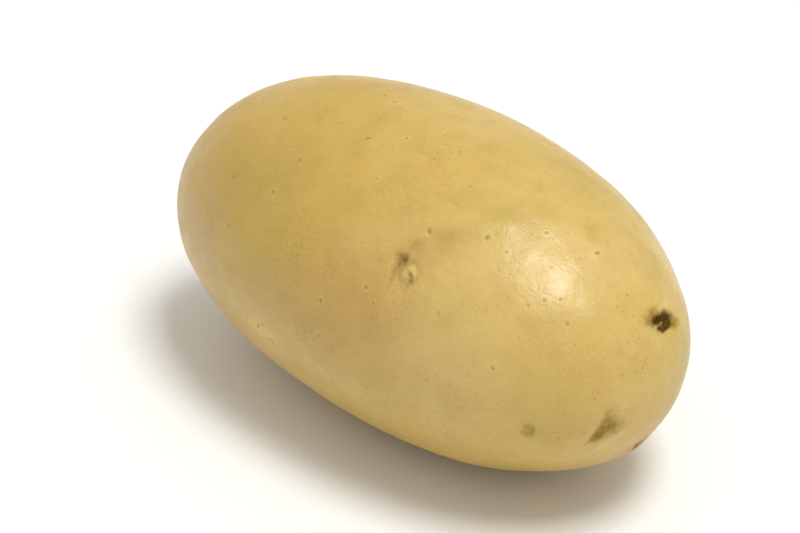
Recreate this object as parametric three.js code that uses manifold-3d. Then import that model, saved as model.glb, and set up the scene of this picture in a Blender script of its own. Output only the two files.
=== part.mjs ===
// A potato: one long oval tuber of a waxy kind, lying on its side on the small flat spot it rests on.
//
// Units are millimetres. +X runs along the tuber to its rose end, where the eyes crowd together, and
// -X to its heel, where the stolon joined it. +Z is up. The origin is on the surface that the tuber
// rests on, under the middle of its box.
//
// A place on the skin is given by its station, which runs from -1 at the heel to 1 at the rose end,
// and by its angle around the long axis in degrees: 0 faces +Y, 90 is on top and 180 faces -Y.
import * as THREE from "three";
import { mergeVertices } from "three/addons/utils/BufferGeometryUtils.js";
import Module from "manifold-3d";

const { degToRad } = THREE.MathUtils;

// Overall size of the smooth tuber, before the flat is taken off its underside.
const LENGTH = 91.4;
const WIDTH = 50.1;
const DEPTH = 46.6;
const FLAT_DEPTH = 0.65;

// How the tuber differs from a plain ellipsoid. The bows are shares of half its length, and the
// others are shares of its girth.
const BLUNTNESS = 0.117; // both ends are fuller than an ellipsoid's
const ROSE_FULLNESS = 0.019; // the rose end is a little fuller than the heel
const CORNERS = -0.009; // the girth leans slightly towards three corners
const SIDE_BOW = -0.022; // the ends bend away from +Y
const RISE_BOW = -0.023; // the ends droop
const SIDE_SWAY = -0.006; // a slight S along the tuber, in plan
const BOW_LEVEL = 0.33; // the mean of the squared station, so that a bow keeps the middle in place
const SWAY_LEVEL = 0.6; // the same for the S, which then has no lean

// Facets come from an icosahedron's faces, each cut this many times along an edge. They are drawn
// together by this share of their distance at each eye, within a reach on the unit sphere that goes
// with the eye's width.
const SKIN_DETAIL = 17;
const GATHERING = 0.5;
const GATHERING_REACH = 0.025;

// Broad swellings, and dents where the height is negative, each fading out over its reach.
const SWELLINGS = [
  { station: -0.46, around: 112, reach: 17, height: 0.4 },
  { station: 0.04, around: 152, reach: 9, height: -0.35 },
  { station: 0.56, around: 128, reach: 12, height: 0.35 },
  { station: -0.3, around: 12, reach: 16, height: -0.5 },
  { station: 0.42, around: -18, reach: 14, height: 0.5 },
  { station: -0.66, around: -72, reach: 13, height: -0.4 },
  { station: 0.7, around: -112, reach: 11, height: -0.35 },
];

// The eyes. Width is from one end of the brow to the other, and turn swings the brow about its
// middle: at 0 it lies square across the tuber.
const EYES = [
  { station: 0.35, around: 137, width: 11.2, hollow: 0.62, brow: 0.38, bud: 0.32, turn: -14 },
  { station: 0.927, around: 59, width: 7.6, hollow: 0.8, brow: 0.42, bud: 0.15, turn: 19 },
  { station: 0.96, around: -158, width: 6.4, hollow: 0.35, brow: 0.2, bud: 0, turn: -75 },
  { station: 0.82, around: -169, width: 3.6, hollow: 0.22, brow: 0.12, bud: 0.15, turn: 0 },
  { station: 0.935, around: -84, width: 4.4, hollow: 0.4, brow: 0.35, bud: 0.15, turn: -15 },
  { station: 0.83, around: -12, width: 6.4, hollow: 0.6, brow: 0.35, bud: 0.25, turn: 12 },
  { station: 0.68, around: -86, width: 7, hollow: 0.6, brow: 0.35, bud: 0.25, turn: -10 },
  { station: 0.52, around: 14, width: 8, hollow: 0.65, brow: 0.4, bud: 0.3, turn: 8 },
  { station: 0.18, around: -44, width: 9, hollow: 0.65, brow: 0.4, bud: 0.3, turn: -14 },
  { station: -0.12, around: 30, width: 9.5, hollow: 0.6, brow: 0.38, bud: 0.3, turn: 10 },
  { station: -0.5, around: -128, width: 8, hollow: 0.45, brow: 0.3, bud: 0.2, turn: 16 },
  { station: -0.62, around: -20, width: 7.5, hollow: 0.4, brow: 0.28, bud: 0.18, turn: -12 },
];

// Proportions of every eye, as shares of half its width.
const BROW_BACK = 0.34; // how far the brow's middle stands behind the bud, towards the heel
const BROW_CURL = 0.42; // how far its ends come forward again
const BROW_THICKNESS = 0.3;
const HOLLOW_LENGTH = 0.5;
const HOLLOW_WIDTH = 0.8;
const BUD_RADIUS = 0.24;

// The heel: a shallow bowl with the stub of the stolon in it.
const HEEL = { station: -0.995, around: 60 };
const BOWL = { reach: 6.5, height: -1.3 };
const STUB = { reach: 1.9, height: 1.1 };

const SKIN = new THREE.MeshStandardMaterial({ color: 0xd6b66b, roughness: 0.42, metalness: 0 });

// A bell curve: 1 at 0, about a third at 1, nothing beyond 2.5.
function bell(x) {
  return Math.exp(-x * x);
}

// The unit direction that stands for a place on the skin.
function directionAt({ station, around }) {
  const ring = Math.sqrt(1 - station * station);
  const angle = degToRad(around);
  return new THREE.Vector3(station, ring * Math.cos(angle), ring * Math.sin(angle));
}

// The smooth tuber's skin in a direction from its middle.
function smoothPoint({ x, y, z }) {
  const girth = 1 + BLUNTNESS * x * x + ROSE_FULLNESS * x + CORNERS * (y ** 3 - 3 * y * z * z);
  const side = SIDE_BOW * (x * x - BOW_LEVEL) + SIDE_SWAY * (x ** 3 - SWAY_LEVEL * x);
  const rise = RISE_BOW * (x * x - BOW_LEVEL);
  return new THREE.Vector3(
    (LENGTH / 2) * x,
    (WIDTH / 2) * y * girth + (LENGTH / 2) * side,
    (DEPTH / 2) * z * girth + (LENGTH / 2) * rise,
  );
}

// Which way the skin faces there, taken from the plain ellipsoid.
function outward({ x, y, z }) {
  return new THREE.Vector3(x / LENGTH, y / WIDTH, z / DEPTH).normalize();
}

// A feature's own axes on the skin: ahead points to the rose end and across runs around the girth.
function placed(feature) {
  const direction = directionAt(feature);
  const up = outward(direction);
  const ahead = new THREE.Vector3(1, 0, 0).projectOnPlane(up).normalize();
  ahead.applyAxisAngle(up, degToRad(feature.turn ?? 0));
  const across = up.clone().cross(ahead);
  return { ...feature, direction, middle: smoothPoint(direction), up, ahead, across };
}

// Height of a round swelling, or of a dent, at a point of the smooth skin.
function moundHeight({ middle, reach, height }, point) {
  return height * bell(point.distanceTo(middle) / reach);
}

// Height of an eye at a point of the smooth skin: a hollow with a bud on its floor, behind it the
// curved ridge of the brow.
function eyeHeight(eye, point) {
  const half = eye.width / 2;
  const offset = point.clone().sub(eye.middle).divideScalar(half);
  if (offset.lengthSq() > 9) return 0;
  const ahead = offset.dot(eye.ahead);
  const across = offset.dot(eye.across);
  const browLine = BROW_CURL * across * across - BROW_BACK;
  const brow = bell((ahead - browLine) / BROW_THICKNESS) * bell(across ** 2);
  const hollow = bell((ahead - BROW_THICKNESS / 2) / HOLLOW_LENGTH) * bell(across / HOLLOW_WIDTH);
  const bud = bell(Math.hypot(ahead, across) / BUD_RADIUS);
  return eye.brow * brow - eye.hollow * hollow + eye.bud * bud;
}

// A unit direction drawn towards the eyes near it, so that facets are finer there.
function gathered(direction, eyes) {
  const moved = direction.clone();
  for (const eye of eyes) {
    const gap = eye.direction.clone().sub(direction);
    moved.addScaledVector(gap, GATHERING * bell(gap.length() / (GATHERING_REACH * eye.width)));
  }
  return moved.normalize();
}

// The whole skin: an icosahedron's fine facets moved out to the smooth tuber, then raised or sunk
// along the outward direction by the relief.
function tuberGeometry() {
  const eyes = EYES.map(placed);
  const mounds = SWELLINGS.map(placed);
  for (const part of [BOWL, STUB]) mounds.push(placed({ ...HEEL, ...part }));

  const geometry = new THREE.IcosahedronGeometry(1, SKIN_DETAIL);
  const positions = geometry.getAttribute("position");
  const corner = new THREE.Vector3();
  for (let i = 0; i < positions.count; i++) {
    const direction = gathered(corner.fromBufferAttribute(positions, i).normalize(), eyes);
    const point = smoothPoint(direction);
    let height = 0;
    for (const mound of mounds) height += moundHeight(mound, point);
    for (const eye of eyes) height += eyeHeight(eye, point);
    point.addScaledVector(outward(direction), height);
    positions.setXYZ(i, point.x, point.y, point.z);
  }
  return geometry;
}

// A closed geometry as a solid that can be cut.
function toSolid(wasm, geometry) {
  const bare = geometry.index ? geometry.toNonIndexed() : geometry.clone();
  bare.deleteAttribute("normal");
  bare.deleteAttribute("uv");
  const merged = mergeVertices(bare, 1e-4);
  const vertProperties = new Float32Array(merged.getAttribute("position").array);
  const triVerts = new Uint32Array(merged.index.array);
  return new wasm.Manifold(new wasm.Mesh({ numProp: 3, vertProperties, triVerts }));
}

// A solid as a geometry again, with flat facets.
function toGeometry(solid) {
  const { vertProperties, triVerts } = solid.getMesh();
  const indexed = new THREE.BufferGeometry();
  indexed.setAttribute("position", new THREE.BufferAttribute(vertProperties, 3));
  indexed.setIndex(new THREE.BufferAttribute(triVerts, 1));
  const faceted = indexed.toNonIndexed();
  faceted.computeVertexNormals();
  return faceted;
}

// The block that takes the flat off the underside: its top is FLAT_DEPTH above the lowest skin.
function flatCutter(lowest) {
  const block = new THREE.BoxGeometry(2 * LENGTH, 2 * WIDTH, DEPTH);
  return block.translate(0, 0, lowest + FLAT_DEPTH - DEPTH / 2);
}

// The tuber with its flat, moved so that the origin is under the middle of its box.
function restingTuber(wasm) {
  const skin = tuberGeometry();
  skin.computeBoundingBox();
  const cutter = flatCutter(skin.boundingBox.min.z);
  const geometry = toGeometry(toSolid(wasm, skin).subtract(toSolid(wasm, cutter)));
  geometry.computeBoundingBox();
  const { min, max } = geometry.boundingBox;
  return geometry.translate(-(min.x + max.x) / 2, -(min.y + max.y) / 2, -min.z);
}

const wasm = await Module();
wasm.setup();

const potato = new THREE.Mesh(restingTuber(wasm), SKIN);
potato.name = "potato";

const part = new THREE.Group();
part.add(potato);

export default part;
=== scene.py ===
"""A potato: one long oval tuber with smooth yellow skin, lying on the small flat spot it rests on.

The CAD model fixes its size and place. This script makes the skin that is seen: the same tuber with
finer eyes, the corky heel, folds, dents, lenticels and rubbed patches, and the colour of each, with
shade painted into the creases and pits of the eyes and the heel.

A place on the skin is given by its station, which runs from -1 at the heel to 1 at the rose end, and
by its angle around the long axis in degrees: 0 faces +Y, 90 is on top and 180 faces -Y. Small sizes
are in millimetres, and everything that is put into Blender is in metres.
"""

import logging
import math
from dataclasses import dataclass, field
from enum import Enum

import bpy
import numpy as np
from mathutils import Matrix, Vector


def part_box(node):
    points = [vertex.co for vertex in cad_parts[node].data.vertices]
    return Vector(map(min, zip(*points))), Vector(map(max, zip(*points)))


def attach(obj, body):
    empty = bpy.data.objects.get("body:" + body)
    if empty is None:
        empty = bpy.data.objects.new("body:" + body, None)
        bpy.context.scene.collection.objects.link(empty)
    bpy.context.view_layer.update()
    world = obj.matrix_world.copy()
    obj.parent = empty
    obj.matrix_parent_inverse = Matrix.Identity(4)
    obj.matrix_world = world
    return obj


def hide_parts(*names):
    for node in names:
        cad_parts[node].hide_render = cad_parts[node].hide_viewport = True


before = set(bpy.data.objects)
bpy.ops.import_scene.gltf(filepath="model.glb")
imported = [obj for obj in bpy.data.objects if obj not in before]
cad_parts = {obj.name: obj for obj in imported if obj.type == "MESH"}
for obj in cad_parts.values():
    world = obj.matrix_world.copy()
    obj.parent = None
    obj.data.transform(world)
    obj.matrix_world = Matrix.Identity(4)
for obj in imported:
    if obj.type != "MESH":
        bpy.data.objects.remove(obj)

LOG = logging.getLogger("potato")

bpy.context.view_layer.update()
NODE = "potato"
BODY = "root"

MM = 0.001
# The smooth tuber's halves over half the CAD box, and where its middle lies in that box.
HALF_SHARES = (1.0065, 1.0020, 1.0127)
MIDDLE_SHARES = (0.4968, 0.4977, 0.4849)
# How far noise pushes the skin's finest cells about.
CELL_PUSH = 0.35 * MM
# The width and height of the finished image.
IMAGE_SHAPE = (800, 533)

Array = np.ndarray
Socket = bpy.types.NodeSocket
Colour = tuple[float, float, float]
Pair = tuple[float, float]


class Mask(Enum):
    """The colour masks that the skin mesh carries, each a value from 0 to 1 at every vertex."""

    # Holds painted shade in the creases, pits and slits of the eyes and heel, and dark torn tissue.
    DARK = "dark_tissue_and_painted_shade"
    # Holds pale scales and lips, and a painted highlight ahead of the stained eye.
    PALE = "pale_tissue_and_ridge_highlight"
    OLIVE = "olive_stain"
    GREEN = "greening"
    GOLD = "golden_patch"
    BLUSH = "russet_patch"
    PINK = "pinkish_patch"
    CORK = "cork"
    RUBBED = "rubbed_patch"
    SPOT = "spot_strength"
    SPOT_RING = "spot_ring"


SPOT_OFFSET = "spot_offset"


# ---------------------------------------------------------------------------------------------
# Formulas on whole arrays
# ---------------------------------------------------------------------------------------------


def bell(x: Array) -> Array:
    """The bell curve exp(-x * x): 1 at 0, about a third at 1 and nothing beyond 2.5."""
    return np.exp(-np.square(x))


def smooth_step(x: Array | float, low: float, high: float) -> Array:
    """Rises from 0 at low to 1 at high along 3 s^2 - 2 s^3, with s the clamped share of the way."""
    share = np.clip((x - low) / (high - low), 0.0, 1.0)
    return share * share * (3.0 - 2.0 * share)


def unit(vectors: Array) -> Array:
    """The vectors along the last axis, each divided by its own length."""
    return vectors / np.linalg.norm(vectors, axis=-1, keepdims=True)


def ahead_along(outward: Array) -> Array:
    """Ahead on the skin: +X with its part along each outward direction taken away."""
    return unit(np.array([1.0, 0.0, 0.0]) - outward * outward[..., :1])


def oval(ahead: Array, across: Array, middle: Pair, reach: Pair) -> Array:
    """A flat-topped oval exp(-r^4), with r the distance from its middle over its two reaches."""
    return bell(np.hypot((ahead - middle[0]) / reach[0], (across - middle[1]) / reach[1]) ** 2)


@dataclass(frozen=True)
class WaveField:
    """A smooth random field: the sum of plane waves of one wavelength in random directions.

    The value at a point p is the sum over the waves of cos(k . p + phase), divided by the square
    root of half their number, so that it has a mean of 0 and a spread of 1.
    """

    wavelength: float
    seed: int
    waves: int = 40

    def at(self, points: Array) -> Array:
        """Works the field out at each point.

        Args:
            points: places in metres, one per row.

        Returns:
            One value per place.
        """
        random = np.random.default_rng(self.seed)
        headings = unit(random.normal(size=(self.waves, 3)))
        spread = random.uniform(0.75, 1.3, size=(self.waves, 1))
        phase = random.uniform(0.0, 2.0 * math.pi, size=self.waves)
        k = headings * spread * 2.0 * math.pi / self.wavelength
        return np.cos(points @ k.T + phase).sum(axis=1) / math.sqrt(self.waves / 2.0)


# ---------------------------------------------------------------------------------------------
# The smooth tuber
# ---------------------------------------------------------------------------------------------


@dataclass(frozen=True)
class TuberForm:
    """The smooth tuber: an ellipsoid with blunt ends, a fuller rose end and a slight bow.

    Attributes:
        halves: half its length, width and depth, in metres.
        middle: where the ellipsoid's middle lies in the row frame, in metres.
        bluntness: how much fuller than an ellipsoid's both ends are.
        rose_fullness: how much fuller the rose end is than the heel.
        corners: how far the girth leans towards three corners.
        side_bow: how far the ends bend away from +Y, as a share of half the length.
        rise_bow: how far the ends droop, as the same share.
        side_sway: a slight S along the tuber in plan, as the same share.
        bow_level, sway_level: what is taken from the bow and the S, to keep the middle in place.
    """

    halves: Array
    middle: Array
    bluntness: float = 0.117
    rose_fullness: float = 0.019
    corners: float = -0.009
    side_bow: float = -0.022
    rise_bow: float = -0.023
    side_sway: float = -0.006
    bow_level: float = 0.33
    sway_level: float = 0.6

    @classmethod
    def inside(cls, low: Vector, high: Vector) -> "TuberForm":
        """Fits the smooth tuber to the CAD node's box.

        The flat spot and the bowl at the heel make the box a little smaller than the smooth tuber,
        so each half is slightly more than half the box, and the middle is off the box's middle.

        Args:
            low: the box's lowest corner, in metres.
            high: its highest corner.

        Returns:
            The form that fills that box.
        """
        corner, size = np.array(low), np.array(high) - np.array(low)
        return cls(0.5 * size * np.array(HALF_SHARES), corner + size * np.array(MIDDLE_SHARES))

    def skin(self, directions: Array) -> Array:
        """The smooth skin's place in each unit direction (x, y, z) from the middle.

        x is the station. The ring there has the ellipsoid's half width and half depth times a girth
        of 1 + bluntness x^2 + rose fullness x + corners (y^3 - 3 y z^2), and its centre is carried
        off the axis by the bow's x^2 and the sway's x^3, each less its own mean.

        Args:
            directions: unit directions, one per row.

        Returns:
            The places in metres, one per row.
        """
        x, y, z = directions.T
        girth = 1.0 + self.bluntness * x**2 + self.rose_fullness * x
        girth = girth + self.corners * (y**3 - 3.0 * y * z**2)
        bend = x**2 - self.bow_level
        side = self.side_bow * bend + self.side_sway * (x**3 - self.sway_level * x)
        rise = self.rise_bow * bend
        length, width, depth = self.halves
        place = np.stack([length * x, width * y * girth, depth * z * girth], axis=1)
        place += length * np.stack([np.zeros_like(x), side, rise], axis=1)
        return place + self.middle

    def outward(self, directions: Array) -> Array:
        """Which way the skin faces: the direction over the halves, at unit length."""
        return unit(directions / self.halves)


@dataclass(frozen=True)
class SkinPlace:
    """A place on the skin, with the way that a feature there is turned.

    Attributes:
        station: from -1 at the heel to 1 at the rose end.
        around: degrees around the long axis, 90 on top.
        turn: degrees that the feature is swung about its middle; at 0 it lies square across.
    """

    station: float
    around: float
    turn: float = 0.0

    def direction(self) -> Array:
        """The unit direction from the tuber's middle that stands for this place."""
        ring = math.sqrt(1.0 - self.station**2)
        angle = math.radians(self.around)
        return np.array([self.station, ring * math.cos(angle), ring * math.sin(angle)])

    def middle(self, form: TuberForm) -> Array:
        """This place on the smooth skin, in metres."""
        return form.skin(self.direction()[None, :])[0]

    def axes(self, form: TuberForm) -> Array:
        """Three rows: ahead, towards the rose end, then across, around the girth, then outward.

        Ahead is swung about the outward direction by the turn.

        Args:
            form: the smooth tuber.

        Returns:
            The three unit vectors, one per row.
        """
        up = form.outward(self.direction())
        plain = ahead_along(up)
        swing = math.radians(self.turn)
        ahead = plain * math.cos(swing) + np.cross(up, plain) * math.sin(swing)
        return np.stack([ahead, np.cross(up, ahead), up])


class SkinLayer:
    """The relief and the colour masks, gathered feature by feature over the smooth skin.

    Attributes:
        form: the smooth tuber.
        points: the smooth skin's points, in metres.
        height: how far each point stands proud, in metres.
        masks: one array of 0 to 1 for each colour mask.
    """

    def __init__(self, form: TuberForm, points: Array) -> None:
        """Starts with no relief and empty masks."""
        self.form = form
        self.points = points
        self.height = np.zeros(len(points))
        self.masks = {mask: np.zeros(len(points)) for mask in Mask}

    def near(self, place: SkinPlace, reach: float) -> tuple[Array, Array]:
        """Finds the points near a place, in that place's own axes.

        Args:
            place: the place on the skin.
            reach: how far to look, in metres.

        Returns:
            The indices of the points, and their offsets (ahead, across, outward) in metres.
        """
        offset = self.points - place.middle(self.form)
        chosen = np.flatnonzero(np.einsum("ij,ij->i", offset, offset) < reach * reach)
        return chosen, offset[chosen] @ place.axes(self.form).T

    def patch(self, place: SkinPlace, reach: Pair, times: float) -> tuple[Array, Array, Array]:
        """Finds the points of an oval patch.

        Args:
            place: its middle.
            reach: its size ahead and across, in millimetres.
            times: how many times the longer reach to look.

        Returns:
            The indices of the points, and how far ahead and across they lie, in reaches.
        """
        chosen, offset = self.near(place, times * max(reach) * MM)
        ahead, across = (offset[:, :2] / (np.array(reach) * MM)).T
        return chosen, ahead, across

    def raise_by(self, chosen: Array, amount: Array) -> None:
        """Adds to the height of the chosen points, in metres."""
        self.height[chosen] += amount

    def mark(self, mask: Mask, chosen: Array, amount: Array) -> None:
        """Brings a mask at the chosen points up to the amount where it is lower."""
        values = self.masks[mask]
        values[chosen] = np.maximum(values[chosen], np.clip(amount, 0.0, 1.0))


# ---------------------------------------------------------------------------------------------
# Features of the skin
# ---------------------------------------------------------------------------------------------


@dataclass(frozen=True)
class Mound:
    """A broad swelling, or a dent where the height is negative: height times the bell curve.

    Attributes:
        place: its middle.
        reach: the distance at which a third of its height is left, in millimetres.
        height: in millimetres.
        stretch: how much longer it is ahead than across.
    """

    place: SkinPlace
    reach: float
    height: float
    stretch: float = 1.0

    def add_to(self, layer: SkinLayer) -> None:
        """Raises or sinks the skin around its middle.

        Args:
            layer: the skin that takes the feature.
        """
        chosen, offset = layer.near(self.place, 3.0 * self.reach * max(1.0, self.stretch) * MM)
        scaled = offset / (self.reach * MM) / np.array([self.stretch, 1.0, 1.0])
        distance = np.linalg.norm(scaled, axis=1)
        layer.raise_by(chosen, self.height * MM * bell(distance))


@dataclass(frozen=True)
class Fold:
    """A long low ridge or groove between two places, with faded ends.

    Its height is the bell curve of the distance from the straight line between its ends. At each end
    it fades out from a fifth of the way in to a tenth of the way beyond.

    Attributes:
        start, end: the places it joins.
        width: the distance from its line at which a third of the height is left, in millimetres.
        height: in millimetres, negative for a groove.
    """

    start: SkinPlace
    end: SkinPlace
    width: float
    height: float

    def add_to(self, layer: SkinLayer) -> None:
        """Raises or sinks the skin along the line.

        Args:
            layer: the skin that takes the feature.
        """
        start, end = self.start.middle(layer.form), self.end.middle(layer.form)
        along = end - start
        share = (layer.points - start) @ along / (along @ along)
        nearest = start + np.clip(share, 0.0, 1.0)[:, None] * along
        distance = np.linalg.norm(layer.points - nearest, axis=1) / (self.width * MM)
        fade = smooth_step(share, -0.1, 0.2) * smooth_step(1.0 - share, -0.1, 0.2)
        layer.height += self.height * MM * bell(distance) * fade


class EyeKind(Enum):
    """How an eye looks."""

    BUDDED = "a clean bud under its brow"
    TORN = "a dark ragged slit with a pale lip, where a sprout broke off"
    STAINED = "a shallow hollow stained olive brown"
    FAINT = "hardly more than a mark"


@dataclass(frozen=True)
class EyeShape:
    """Proportions that every eye shares, as shares of half its width.

    The brow is a ridge along the curve back + curl * across^2, steep on the bud's side. The hollow is
    a bell-shaped dip in front of it, the crease a narrow groove at the brow's foot, and the bud a
    pair of flat scales on the hollow's floor with a slit between them. The slit is turned by degrees
    and lies off the bud's middle by shares of the scale radius, which its length and its bend are
    shares of too. Wrinkles ring the eye, and are lower where the eye is narrower than full_width, in
    millimetres.
    """

    brow_back: float = 0.34
    brow_curl: float = 0.42
    brow_heel_side: float = 0.42
    brow_bud_side: float = 0.17
    hollow_ahead: float = 0.15
    hollow_length: float = 0.5
    hollow_width: float = 0.8
    crease_gap: float = 0.21
    crease_width: float = 0.075
    crease_depth: float = 0.34
    scale_radius: float = 0.17
    slit_width: float = 0.045
    slit_length: float = 1.1
    slit_bend: float = 0.55
    slit_depth: float = 0.45
    slit_from: Pair = (0.25, 0.0)
    slit_turn: float = 0.0
    wrinkles: int = 11
    wrinkle_height: float = 0.045
    wrinkle_ring: float = 0.95
    wrinkle_spread: float = 0.45
    full_width: float = 8.0


@dataclass(frozen=True)
class Eye:
    """One eye of the potato.

    Attributes:
        place: its middle, with its brow's turn.
        width: from one end of the brow to the other, in millimetres.
        hollow: depth of the hollow, in millimetres.
        brow: height of the brow, in millimetres.
        bud: height of the bud, in millimetres.
        kind: how it looks.
        shift: where the bud sits, ahead and across, in shares of half the width.
        fade: how much of the crease is lost on the side that across points to.
        shape: the proportions that all eyes share.
    """

    place: SkinPlace
    width: float
    hollow: float
    brow: float
    bud: float
    kind: EyeKind = EyeKind.BUDDED
    shift: Pair = (0.06, 0.0)
    fade: float = 0.3
    shape: EyeShape = field(default_factory=EyeShape)

    def add_to(self, layer: SkinLayer) -> None:
        """Adds the eye's relief and its colours, which include shade painted into a budded eye's
        crevices; both are made uneven by a fine wave field.

        Args:
            layer: the skin that takes the feature.
        """
        half = 0.5 * self.width * MM
        chosen, offset = layer.near(self.place, 3.2 * half)
        uneven = WaveField(0.45 * half, seed=5).at(layer.points[chosen])
        drift = WaveField(0.8 * half, seed=6).at(layer.points[chosen])
        ahead = offset[:, 0] / half + 0.025 * uneven
        across = offset[:, 1] / half + 0.03 * drift
        from_brow = ahead - self._brow_line(across)
        layer.raise_by(chosen, MM * self._relief(ahead, across, from_brow, uneven))
        for mask, amount in self._marks(ahead, across, from_brow).items():
            layer.mark(mask, chosen, amount)

    def _brow_line(self, across: Array) -> Array:
        """How far ahead the brow's crest lies: the curl times across squared, less its back."""
        return self.shape.brow_curl * across**2 - self.shape.brow_back

    def _crease(self, across: Array, from_brow: Array) -> Array:
        """The groove at the brow's foot: a narrow bell along the brow, gone at its ends.

        Args:
            across: how far across the places are, in half widths.
            from_brow: how far ahead of the brow's crest they are, in half widths.

        Returns:
            The groove's strength, from 0 to 1.
        """
        shape = self.shape
        kept = 1.0 - self.fade * smooth_step(across, self.shift[1] - 0.1, self.shift[1] + 0.35)
        ends = bell(((across - 0.5 * self.shift[1]) / 0.8) ** 2)
        return bell((from_brow - shape.crease_gap) / shape.crease_width) * ends * kept

    def _bud(self, ahead: Array, across: Array) -> tuple[Array, Array]:
        """The bud: flat-topped scales exp(-r^4), and the slit across them.

        Args:
            ahead, across: places in the eye, in half widths.

        Returns:
            The scales' height from 0 to 1, and the slit's depth from 0 to 1.
        """
        shape, radius = self.shape, self.shape.scale_radius
        a, c = ahead - self.shift[0], across - self.shift[1]
        outer = oval(a / radius, c / radius, (0.0, 0.0), (1.15, 1.25))
        inner = oval(a / radius, c / radius, (0.3, 0.2), (0.7, 0.75))
        swing = math.radians(shape.slit_turn)
        aside = a * math.cos(swing) + c * math.sin(swing) - shape.slit_from[0] * radius
        along = c * math.cos(swing) - a * math.sin(swing) - shape.slit_from[1] * radius
        curve = aside + shape.slit_bend * along**2 / radius
        slit = bell(curve / shape.slit_width) * bell((along / (shape.slit_length * radius)) ** 2)
        return 0.65 * outer + 0.35 * inner, slit

    def _relief(self, ahead: Array, across: Array, from_brow: Array, uneven: Array) -> Array:
        """The eye's height in millimetres: brow and bud, less hollow and crease, with wrinkles.

        The wrinkles are the cosine of a multiple of the angle around the eye, shaken by the uneven
        field, at a distance of about one half width.

        Args:
            ahead, across: places in the eye, in half widths.
            from_brow: how far ahead of the brow's crest they are, in half widths.
            uneven: a wave field at those places.

        Returns:
            Heights in millimetres.
        """
        shape = self.shape
        side = np.where(from_brow < 0.0, shape.brow_heel_side, shape.brow_bud_side)
        brow = bell(from_brow / side) * bell(across**2)
        hollow = bell((ahead - shape.hollow_ahead) / shape.hollow_length)
        hollow *= bell(across / shape.hollow_width)
        spokes = np.cos(shape.wrinkles * np.arctan2(across, ahead) + 4.0 * across + 1.3 * uneven)
        ring = bell((np.hypot(ahead, across) - shape.wrinkle_ring) / shape.wrinkle_spread)
        scales, slit = self._bud(ahead, across)
        height = self.brow * brow - self.hollow * hollow
        crease_depth = shape.crease_depth * smooth_step(self.hollow, 0.25, 0.7)
        height -= crease_depth * self._crease(across, from_brow)
        height += self.bud * (scales - shape.slit_depth * slit * smooth_step(scales, 0.0, 0.4))
        return height + shape.wrinkle_height * spokes * ring * min(1.0, self.width / shape.full_width)

    def _marks(self, ahead: Array, across: Array, from_brow: Array) -> dict[Mask, Array]:
        """What is dark, pale and stained in the eye, by its kind, with painted shade in a budded eye's
        crevices and a painted highlight ahead of a stained eye.

        Args:
            ahead, across: places in the eye, in half widths.
            from_brow: how far ahead of the brow's crest they are, in half widths.

        Returns:
            For each mask, its amount at every place.
        """
        inside = oval(ahead, across, (0.1, 0.0), (0.55, 0.75))
        if self.kind is EyeKind.BUDDED:
            return self._budded(ahead, across, from_brow, inside)
        if self.kind is EyeKind.TORN:
            return self._torn(ahead, across)
        if self.kind is EyeKind.STAINED:
            return self._stained(ahead, across)
        return {Mask.OLIVE: 0.45 * inside, Mask.DARK: 0.12 * inside}

    def _budded(
        self, ahead: Array, across: Array, from_brow: Array, inside: Array
    ) -> dict[Mask, Array]:
        """Painted shade darkens the crease, its pit, the slit and the gap round the scales, which are
        pale, in a blush.

        Args:
            ahead, across: places in the eye, in half widths.
            from_brow: how far ahead of the brow's crest they are, in half widths.
            inside: how far inside the hollow they are, from 0 to 1.

        Returns:
            For each mask, its amount at every place.
        """
        scales, slit = self._bud(ahead, across)
        crease = self._crease(across, from_brow)
        pit = bell(np.hypot((from_brow - 0.2) / 0.1, (across - 0.6 * self.shift[1]) / 0.13))
        gap = bell((scales - 0.3) / 0.16) * inside
        return {
            # Painted shade: the crease, the pit, the gap round the scales and the slit are darkened.
            Mask.DARK: 0.36 * crease + 0.5 * pit + 0.25 * gap + 0.4 * slit,
            Mask.PALE: 0.55 * smooth_step(scales, 0.4, 0.9) * (1.0 - slit),
            Mask.BLUSH: 0.45 * inside,
        }

    def _torn(self, ahead: Array, across: Array) -> dict[Mask, Array]:
        """Two dark cuts and the joint between them, a pale lip behind, and olive at both ends.

        Args:
            ahead, across: places in the eye, in half widths.

        Returns:
            For each mask, its amount at every place.
        """
        near_cut = oval(ahead, across, (-0.15, -0.24), (0.2, 0.64))
        far_cut = oval(ahead, across, (0.21, 0.08), (0.15, 0.5))
        joint = 0.9 * oval(ahead, across, (0.03, 0.36), (0.28, 0.27))
        halo = oval(ahead, across, (-0.28, -0.5), (0.34, 0.6))
        tail = oval(ahead, across, (0.18, 0.7), (0.24, 0.34))
        lip = bell((ahead + 0.5) / 0.14) * bell((across / 0.6) ** 2)
        left_light = (1.0 - near_cut) * (1.0 - far_cut) * (1.0 - joint)
        return {
            Mask.DARK: 1.1 * (1.0 - left_light),
            Mask.PALE: 0.45 * lip,
            Mask.OLIVE: 0.85 * np.maximum(halo, tail),
        }

    def _stained(self, ahead: Array, across: Array) -> dict[Mask, Array]:
        """An olive wedge, wider to one side, darker away from its middle, and a painted highlight: a
        pale line where the rise ahead catches the light.

        Args:
            ahead, across: places in the eye, in half widths.

        Returns:
            For each mask, its amount at every place.
        """
        off_middle = (ahead + 0.2 * across - 0.1) / (0.46 + 0.38 * np.clip(across, -0.9, 0.9))
        stain = bell(off_middle**2) * bell(((across + 0.06) / 0.85) ** 2)
        return {
            Mask.OLIVE: 0.9 * stain,
            Mask.DARK: 0.1 * stain * smooth_step(np.abs(across), 0.2, 0.6),
            # Painted highlight: a pale line where the rise ahead of the stain catches the light.
            Mask.PALE: 0.3 * bell((ahead - 0.95) / 0.18) * bell(across**2),
        }


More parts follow.
